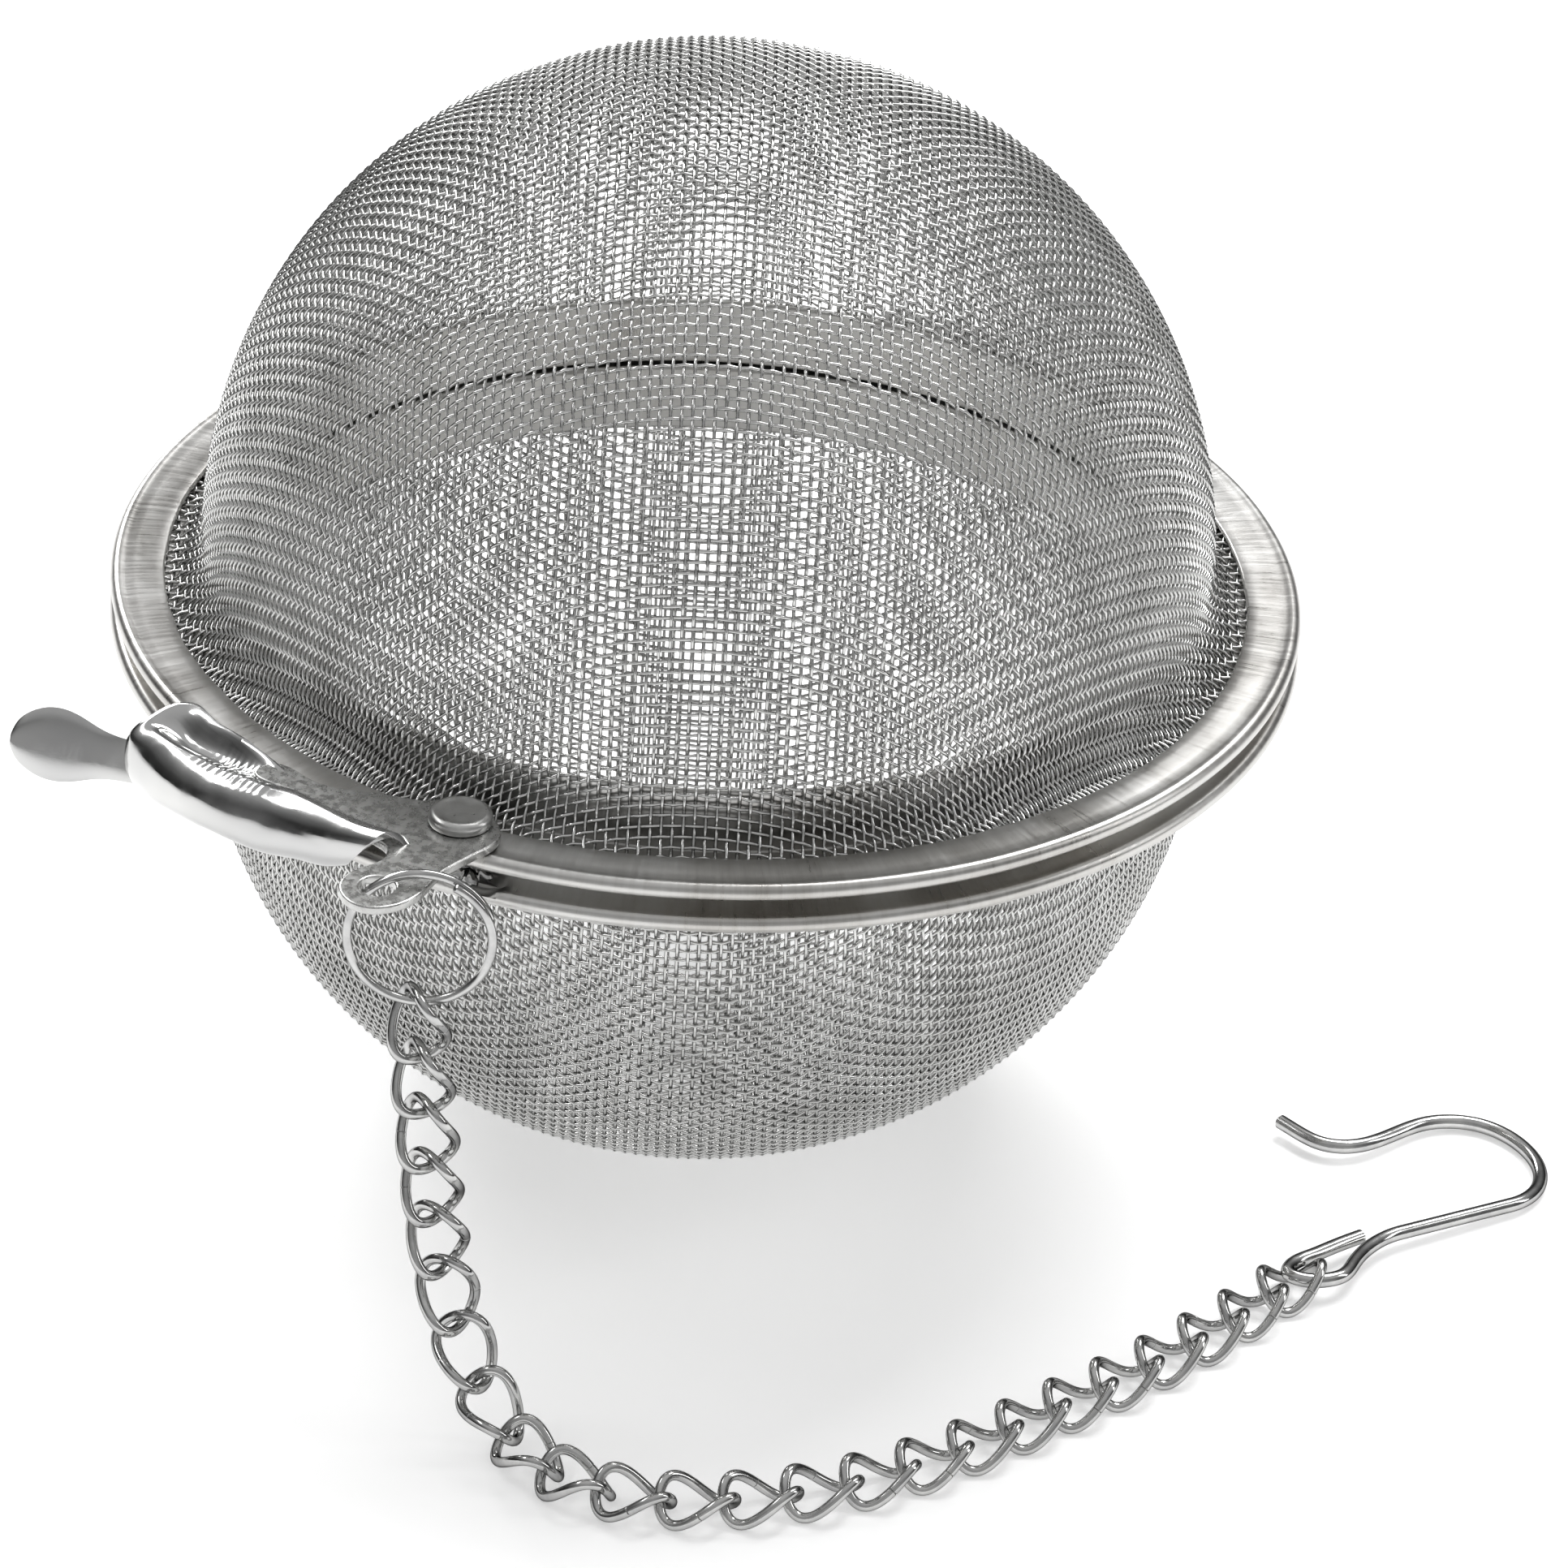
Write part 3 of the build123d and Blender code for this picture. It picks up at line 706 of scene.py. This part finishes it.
# ---------------------------------------------------------------- latch lever
# Sections of the pressed channel, from its inner edge over the crown, the hollow and the fold to
# the lip, as radius and height over the parting plane, at angles from the rivet.
CHANNEL = (
    (5.8, ((41.6, 2.30), (41.7, 2.75), (42.0, 3.20), (42.5, 3.45), (43.0, 3.30),
           (43.4, 2.70), (43.5, 1.70), (43.2, 0.60), (42.5, -0.25), (41.2, -0.80))),
    (9.0, ((40.9, 2.25), (41.1, 2.45), (41.5, 2.85), (42.1, 3.05), (42.7, 2.90),
           (43.2, 2.25), (43.4, 1.15), (43.1, -0.15), (42.4, -1.00), (41.1, -1.35))),
    (12.0, ((40.1, 2.20), (40.5, 2.25), (40.9, 2.45), (41.5, 2.80), (42.2, 2.65),
            (42.9, 1.95), (43.3, 0.80), (43.1, -0.50), (42.4, -1.30), (41.2, -1.70))),
    (16.0, ((39.3, 2.15), (39.8, 2.18), (40.3, 2.24), (41.0, 2.55), (41.9, 2.48),
            (42.8, 1.75), (43.4, 0.50), (43.4, -0.90), (42.7, -1.75), (41.4, -2.20))),
    (21.0, ((39.1, 2.30), (39.4, 2.70), (40.0, 2.20), (40.9, 1.95), (41.9, 2.38),
            (43.2, 1.75), (43.95, 0.50), (43.9, -1.00), (43.0, -2.00), (41.6, -2.55))),
    (25.0, ((39.1, 2.30), (39.45, 3.00), (40.1, 2.15), (41.0, 1.50), (42.2, 2.25),
            (43.5, 1.75), (44.3, 0.50), (44.3, -1.00), (43.4, -2.10), (41.8, -2.65))),
    (29.0, ((39.5, 2.30), (39.85, 3.20), (40.6, 2.50), (41.6, 1.55), (42.8, 2.25),
            (43.8, 1.75), (44.5, 0.50), (44.5, -1.00), (43.8, -2.15), (42.1, -2.75))),
    (32.0, ((39.6, 2.30), (39.9, 3.25), (40.7, 3.00), (41.9, 2.10), (43.2, 2.20),
            (44.0, 1.70), (44.5, 0.50), (44.5, -1.00), (44.0, -2.10), (42.3, -2.75))),
    (33.4, ((40.2, 2.20), (40.6, 2.95), (41.4, 2.90), (42.5, 2.50), (43.5, 2.10),
            (44.15, 1.55), (44.45, 0.40), (44.4, -0.90), (44.0, -1.90), (42.6, -2.50))),
    (34.1, ((40.8, 1.90), (41.1, 2.45), (41.8, 2.40), (42.6, 2.10), (43.4, 1.75),
            (43.9, 1.30), (44.1, 0.40), (44.1, -0.70), (43.7, -1.50), (42.8, -2.00))),
    (34.4, ((42.0, 1.10), (42.1, 1.30), (42.4, 1.30), (42.7, 1.15), (43.0, 1.00),
            (43.2, 0.80), (43.3, 0.45), (43.3, 0.00), (43.1, -0.30), (42.8, -0.50))),
)
# The open end is cut aslant, so the fold stops short of the inner edge
CHANNEL_SLANT = 7.4
SLANT_REACH = 16.0
# Forming marks in the hollow: ripples round an angle, and dents that fade in from an angle on
HOLLOW_RADIUS = 41.5
HOLLOW_REACH = 1.5
RIPPLE_HEIGHT = 0.055
RIPPLE_MIDDLE = 22
RIPPLE_REACH = 5
DENT_HEIGHT = 0.02
DENT_START = 16
DENT_FADE = 5
# Finger tab: distance past the neck, height and how far its rim falls back
TAB = (
    (-0.9, 2.60, 0.10), (0.2, 2.65, 0.12), (1.3, 2.75, 0.18), (2.7, 3.20, 0.30), (4.1, 4.10, 0.42),
    (5.6, 4.65, 0.50), (6.9, 4.30, 0.50), (7.8, 3.45, 0.45), (8.4, 2.40, 0.35), (8.75, 1.00, 0.20),
)
TAB_NECK = (-24.20, -36.05)
TAB_HEIGHT = -1.10
TAB_HEADING = 188.4
TAB_LEAN = 0.34
# Points across a section of the channel or the tab, and points along each
SHEET_ACROSS = 37
CHANNEL_STATIONS = 170
TAB_STATIONS = 70
# Thickness of the sheet and how far its edges are rounded
CHANNEL_SHEET = 0.42
CHANNEL_EDGE = 0.09
TAB_SHEET = 0.55
TAB_EDGE = 0.20


def thicken(piece, thickness, bevel):
    """Gives the piece its sheet thickness and softened edges."""
    shell = piece.modifiers.new("thickness", "SOLIDIFY")
    shell.thickness = thickness * MM
    shell.offset = 1.0
    shell.use_even_offset = False
    soften = piece.modifiers.new("edges", "BEVEL")
    soften.width = bevel * MM
    soften.segments = 2
    soften.angle_limit = radians(50)
    bpy.context.view_layer.update()
    shaped = piece.evaluated_get(bpy.context.evaluated_depsgraph_get())
    mesh = bpy.data.meshes.new_from_object(shaped)
    piece.modifiers.clear()
    piece.data = mesh


def make_channel():
    """The rolled channel with its raised crown, open at one end and closed at the tab."""
    sections = []
    for angle, section in CHANNEL:
        slant = CHANNEL_SLANT * max(0.0, 1 - (angle - CHANNEL[0][0]) / SLANT_REACH) ** 2
        spots = smooth_path(section, SHEET_ACROSS)
        sections.append([
            around(r, angle + slant * (k / (SHEET_ACROSS - 1) - 0.5), h) for k, (r, h) in enumerate(spots)
        ])
    sections = np.array(sections)
    surface = np.stack([smooth_path(sections[:, k], CHANNEL_STATIONS) for k in range(SHEET_ACROSS)], 1)
    for i in range(CHANNEL_STATIONS):
        for k in range(SHEET_ACROSS):
            x, y, z = surface[i, k]
            angle = -90 - degrees(atan2(y, x))
            radius = hypot(x, y)
            if z > PARTING + 1.5 and angle < 33:
                hollow = max(0.0, 1 - ((radius - HOLLOW_RADIUS) / HOLLOW_REACH) ** 2)
                near = max(0.0, 1 - ((angle - RIPPLE_MIDDLE) / RIPPLE_REACH) ** 2)
                ripple = RIPPLE_HEIGHT * near * sin(angle * 8.5 + 1.1 * sin(angle * 2.3))
                fade = min(1.0, max(0.0, (angle - DENT_START) / DENT_FADE))
                dent = DENT_HEIGHT * fade * noise.noise(Vector((x * 1.4, y * 1.4, z)))
                surface[i, k, 2] += hollow * (ripple + dent)
            elif angle < 34:
                surface[i, k, :2] *= 1 + 0.0014 * noise.noise(Vector((x * 0.5, y * 0.5, z * 0.8)))
    faces = grid_faces(CHANNEL_STATIONS, SHEET_ACROSS)
    piece = make_piece("lever_channel", surface.reshape(-1, 3), faces, POLISHED, sharp=0)
    thicken(piece, CHANNEL_SHEET, CHANNEL_EDGE)
    place(piece, "lever", "lever_sheet", "latch_lever")


def make_tab():
    """The finger tab: a dished blade that leans back a little, on a narrow neck."""
    heading = radians(TAB_HEADING)
    out = np.array([cos(heading), sin(heading), 0])
    face = np.array([-sin(heading), cos(heading), 0])
    neck = np.array([*TAB_NECK, PARTING + TAB_HEIGHT])
    sections = []
    for distance, height, fall in TAB:
        row = []
        for k in range(SHEET_ACROSS):
            spread = sin((1 - 2 * k / (SHEET_ACROSS - 1)) * pi / 2)
            rise = spread * height / 2
            back = fall * abs(spread) ** 3 + TAB_LEAN * rise
            row.append(neck + out * distance + UP * rise - face * back)
        sections.append(row)
    sections = np.array(sections)
    surface = np.stack([smooth_path(sections[:, k], TAB_STATIONS) for k in range(SHEET_ACROSS)], 1)
    faces = grid_faces(TAB_STATIONS, SHEET_ACROSS)
    piece = make_piece("lever_tab", surface.reshape(-1, 3), faces, POLISHED, sharp=0)
    thicken(piece, TAB_SHEET, TAB_EDGE)
    place(piece, "lever", "lever_sheet", "latch_lever")


def make_plate():
    """The flat end of the lever: the pivot round, the ear for the ring and the strip to the channel."""
    ear = np.array(EAR)
    ear_side = [
        (2.00, -36.55), (2.80, -37.7), (2.95, -38.9), (2.45, -40.6), (1.95, -42.2), (1.50, -44.2),
        (1.55, -45.9), (1.30, -47.6), (0.55, -48.95), (-0.85, -49.72), (-2.35, -49.30),
        (-3.25, -48.15), (-3.38, -46.80), (-2.95, -45.60), (-2.35, -44.60), (-2.30, -43.30),
        (-2.75, -42.55), (-3.60, -42.10),
    ]
    # Radius and angle of the strip's edge, out along its rim and back along the flange
    strip = (
        (41.5, 8), (40.9, 11), (40.9, 14), (40.9, 17), (40.9, 20.5),
        (39.6, 20.5), (39.15, 16), (38.4, 12), (37.2, 8),
    )
    pivot_side = [(-3.10, -36.35), (-1.75, -35.45), (0.0, -35.35), (1.20, -35.80)]
    outline = [*ear_side, *(tuple(around(radius, angle)[:2]) for radius, angle in strip), *pivot_side]
    rim = smooth_path([*outline, outline[0]], 200)[:-1]
    curve = bpy.data.curves.new("lever_plate", "CURVE")
    curve.dimensions = "2D"
    curve.fill_mode = "BOTH"
    curve.extrude = (LEVER_SHEET / 2 - PLATE_EDGE) * MM
    curve.bevel_depth = PLATE_EDGE * MM
    curve.bevel_resolution = 3
    hole = [ear + EAR_HOLE * np.array([cos(t), sin(t)]) for t in np.linspace(0, 2 * pi, 49)[:-1]]
    for loop in (rim, hole):
        spline = curve.splines.new("POLY")
        spline.points.add(len(loop) - 1)
        for spot, (x, y) in zip(spline.points, loop):
            spot.co = (x * MM, y * MM, 0, 1)
        spline.use_cyclic_u = True
    drawn = bpy.data.objects.new("lever_plate_outline", curve)
    bpy.context.scene.collection.objects.link(drawn)
    bpy.context.view_layer.update()
    mesh = bpy.data.meshes.new_from_object(drawn.evaluated_get(bpy.context.evaluated_depsgraph_get()))
    bpy.data.objects.remove(drawn)
    mesh.transform(Matrix.Translation((0, 0, (PARTING + LEVER_LOW + LEVER_SHEET / 2) * MM)))
    mesh.polygons.foreach_set("use_smooth", [True] * len(mesh.polygons))
    mesh.set_sharp_from_angle(angle=radians(35))
    mesh.materials.clear()
    mesh.materials.append(PITTED)
    piece = bpy.data.objects.new("lever_plate", mesh)
    bpy.context.scene.collection.objects.link(piece)
    place(piece, "lever", "lever_sheet", "latch_lever")


# ---------------------------------------------------------------- ring, chain and hook
def make_ring():
    """The split ring: one turn of wire and a little more, its ends side by side."""
    low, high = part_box("split_ring")
    centre = np.array((low + high) / 2) / MM
    facing = np.array(joint_of["ring_swing"]["axis"])
    sideways = np.cross(UP, facing)
    turns = radians(RING_START - 360 * (RING_TURNS - 1)) + np.linspace(0, 2 * pi * RING_TURNS, 180)
    shift = np.linspace(-0.5, 0.5, 180) * RING_PITCH * RING_TURNS
    path = (
        centre
        + RING_RADIUS * (np.cos(turns)[:, None] * sideways + np.sin(turns)[:, None] * UP)
        + shift[:, None] * facing
    )
    piece = make_piece("ring_coil", *wire_mesh(path, RING_WIRE, 20), WIRE)
    place(piece, "ring", "chain_wire", "split_ring")


def make_chain():
    """Curb links, each twisted a quarter, as the joints place them."""
    pivots = [np.array(joint_of[f"link_{n + 1:02d}_swing"]["pos_m"]) / MM for n in range(CHAIN_LINKS)]
    pivots.append(np.array(joint_of["hook_swing"]["pos_m"]) / MM)
    butt = LINK_BUTT_GAP / LINK_HALF_LENGTH
    turns = pi / 2 + butt / 2 + (2 * pi - butt) * np.linspace(0, 1, 72)
    for n in range(CHAIN_LINKS):
        along = pivots[n + 1] - pivots[n]
        along /= np.linalg.norm(along)
        axis = np.array(joint_of[f"link_{n + 1:02d}_swing"]["axis"])
        if n % 2 == 0:
            across, flat = axis, np.cross(along, axis)
        else:
            across, flat = np.cross(axis, along), axis
        path = (
            (pivots[n] + pivots[n + 1]) / 2
            + LINK_HALF_LENGTH * np.cos(turns)[:, None] * along
            + LINK_HALF_WIDTH * np.sin(turns)[:, None] * across
            + LINK_TWIST * np.sin(2 * turns)[:, None] * flat
        )
        piece = make_piece(f"link_{n + 1:02d}_wire", *wire_mesh(path, LINK_WIRE, 16), WIRE)
        place(piece, f"link_{n + 1:02d}", "chain_wire", f"chain_link_{n + 1:02d}")
    return pivots


def make_hook(pivots):
    """The cup hook: an eye closed back on the shank, a wide bend and a turned-out tip."""
    side, reach, leg = HOOK_SIDE, HOOK_LENGTH, HOOK_LEG_REACH
    eye = smooth_path([
        (HOOK_EYE_LENGTH, side + 0.65, 0), (HOOK_EYE_LENGTH / 2, side + 0.23, 0), (1.0, side - 0.10, 0),
        (-0.7, 1.00, 0), (-HOOK_EYE, 0.10, 0), (-1.05, -0.85, 0), (0.3, -HOOK_EYE, 0), (1.7, -HOOK_EYE, 0),
        (3.3, -0.50, 0), (HOOK_EYE_LENGTH, side - 0.62, 0), (HOOK_SHANK_START, side, 0),
    ], 120, (-1, -0.12, 0), (1, 0, 0))
    bend = smooth_path([
        (HOOK_SHANK, side, 0), (reach - 3.6, side + 0.22, 0), (reach - 2.2, side + 0.95, 0),
        (reach - 0.55, side + 3.1, 0), (reach, side + 5.9, 0), (reach - 1.2, side + 9.5, 0),
        (reach - 4.1, leg + 0.40, 0), (reach - 8.8, leg - 0.10, 0), (reach - 11.4, leg + 0.05, 0),
        (reach - 12.75, leg + 1.00, 0), (reach - 13.45, leg + 2.60, 0),
        (reach - 13.9, leg + HOOK_TIP_RISE, 0),
    ], 170, (1, 0, 0), (-0.24, 1, 0))
    shank = np.linspace(eye[-1], bend[0], 30)[1:-1]
    flat = np.vstack([eye, shank, bend])
    pivot, ahead = pivots[-1], pivots[-1] - pivots[-2]
    heading = atan2(ahead[1], ahead[0]) + radians(HOOK_TURN)
    slope = atan2(pivot[2] - HOOK_WIRE / 2, HOOK_LENGTH)
    turn = Matrix.Rotation(heading, 3, "Z") @ Matrix.Rotation(slope, 3, "Y")
    path = pivot + flat @ np.array(turn).T
    piece = make_piece("hook_wire", *wire_mesh(path, HOOK_WIRE, 20), WIRE)
    place(piece, "hook", "chain_wire", "cup_hook")


# ---------------------------------------------------------------- the object
make_cloth(1, "upper_mesh", "upper_half", "upper_cloth")
make_cloth(-1, "lower_mesh", "lower_half", "lower_cloth")
make_rim(1, "upper_rim", "upper_half")
make_rim(-1, "lower_rim", "lower_half", dimple=TAIL_POCKET)
make_rivet()
make_channel()
make_tab()
make_plate()
make_ring()
make_hook(make_chain())
for node in ("hinge_leaf_upper", "hinge_leaf_lower", "hinge_pin"):
    frame["nodes"][node].data.materials.clear()
    frame["nodes"][node].data.materials.append(RIVET)


# ---------------------------------------------------------------- table, light and camera
def pale_floor():
    """Matt white, a little self-lit so that it stays pale away from the lamps."""
    look = Shader("pale_floor", metallic=0.0, Roughness=0.8)
    look.surface.inputs["Base Color"].default_value = (0.92, 0.92, 0.92, 1)
    look.surface.inputs["Specular IOR Level"].default_value = 0.1
    look.surface.inputs["Emission Color"].default_value = (1, 1, 1, 1)
    look.surface.inputs["Emission Strength"].default_value = 0.34
    return look.material


def make_floor():
    """The table: a plane far wider than any view of the object."""
    half = 4000
    corners = [(-half, -half, 0), (half, -half, 0), (half, half, 0), (-half, half, 0)]
    floor = make_piece("floor", corners, [(0, 1, 2, 3)], pale_floor())


def studio_world():
    """A soft white tent: bright overhead, darker towards the horizon, as metal needs to be read."""
    world = bpy.data.worlds.new("studio")
    bpy.context.scene.world = world
    world.use_nodes = True
    tree = world.node_tree
    back = tree.nodes["Background"]
    where = tree.nodes.new("ShaderNodeTexCoord")
    apart = tree.nodes.new("ShaderNodeSeparateXYZ")
    ramp = tree.nodes.new("ShaderNodeValToRGB")
    tree.links.new(where.outputs["Generated"], apart.inputs[0])
    tree.links.new(apart.outputs[2], ramp.inputs[0])
    # The side the table is viewed from is a grey wall, not black
    facing = tree.nodes.new("ShaderNodeVectorMath")
    facing.operation = "DOT_PRODUCT"
    facing.inputs[1].default_value = (0.4, -0.917, 0)
    tree.links.new(where.outputs["Generated"], facing.inputs[0])
    wall = tree.nodes.new("ShaderNodeMapRange")
    wall.inputs["From Min"].default_value = 0.1
    wall.inputs["From Max"].default_value = 0.9
    wall.inputs["To Max"].default_value = 0.44
    tree.links.new(facing.outputs["Value"], wall.inputs["Value"])
    both = tree.nodes.new("ShaderNodeMath")
    both.operation = "MAXIMUM"
    tree.links.new(ramp.outputs[0], both.inputs[0])
    tree.links.new(wall.outputs[0], both.inputs[1])
    stops = ((0.0, 0.02), (0.28, 0.05), (0.50, 0.20), (0.72, 0.50), (1.0, 0.60))
    elements = ramp.color_ramp.elements
    while len(elements) < len(stops):
        elements.new(0.5)
    for element, (position, value) in zip(elements, stops):
        element.position = position
        element.color = (value, value, value * 0.995, 1)
    tree.links.new(both.outputs[0], back.inputs[0])
    back.inputs[1].default_value = 1.0


def soft_light(name, spot, aim, size, power):
    """An area light, placed and aimed in millimetres."""
    data = bpy.data.lights.new(name, "AREA")
    data.shape = "RECTANGLE"
    data.size, data.size_y = size[0] * MM, size[1] * MM
    data.energy = power
    lamp = bpy.data.objects.new(name, data)
    bpy.context.scene.collection.objects.link(lamp)
    lamp.location = Vector(spot) * MM
    lamp.rotation_euler = (Vector(aim) - Vector(spot)).to_track_quat("-Z", "Y").to_euler()


CAMERA_AZIMUTH = 23.5
CAMERA_ELEVATION = 29.79
CAMERA_ROLL = 2.9
CAMERA_DISTANCE = 655.3
CAMERA_LENS = 223.6
CAMERA_AIM = (0.514, -1.060)


def make_camera():
    """A long lens from the front right, aimed a little past the middle of the rims and rolled slightly."""
    data = bpy.data.cameras.new("camera")
    data.sensor_width = 36
    data.lens = CAMERA_LENS
    data.clip_start, data.clip_end = 0.01, 50
    camera = bpy.data.objects.new("camera", data)
    bpy.context.scene.collection.objects.link(camera)
    a, e = radians(CAMERA_AZIMUTH), radians(CAMERA_ELEVATION)
    back = Vector((sin(a) * cos(e), -cos(a) * cos(e), sin(e)))
    right = Vector((cos(a), sin(a), 0))
    up = right.cross(-back)
    camera.location = (Vector((0, 0, PARTING)) + CAMERA_DISTANCE * back) * MM
    aim = Matrix((right, up, back)).transposed()
    yaw, pitch = (radians(turn) for turn in CAMERA_AIM)
    aim = aim @ Matrix.Rotation(-yaw, 3, "Y") @ Matrix.Rotation(pitch, 3, "X")
    aim = aim @ Matrix.Rotation(radians(CAMERA_ROLL), 3, "Z")
    camera.rotation_euler = aim.to_euler()
    bpy.context.scene.camera = camera


make_floor()
studio_world()
soft_light("overhead", (40, 280, 480), (0, 0, 30), (300, 220), 1.9)
soft_light("left_strip", (-400, 330, 300), (0, 0, 30), (90, 300), 1.30)
soft_light("right_strip", (430, 160, 250), (0, 0, 30), (60, 300), 0.30)
soft_light("side_strip", (-300, 10, 360), (0, 0, 30), (330, 50), 0.42)
make_camera()
bpy.context.scene.view_settings.view_transform = "Standard"
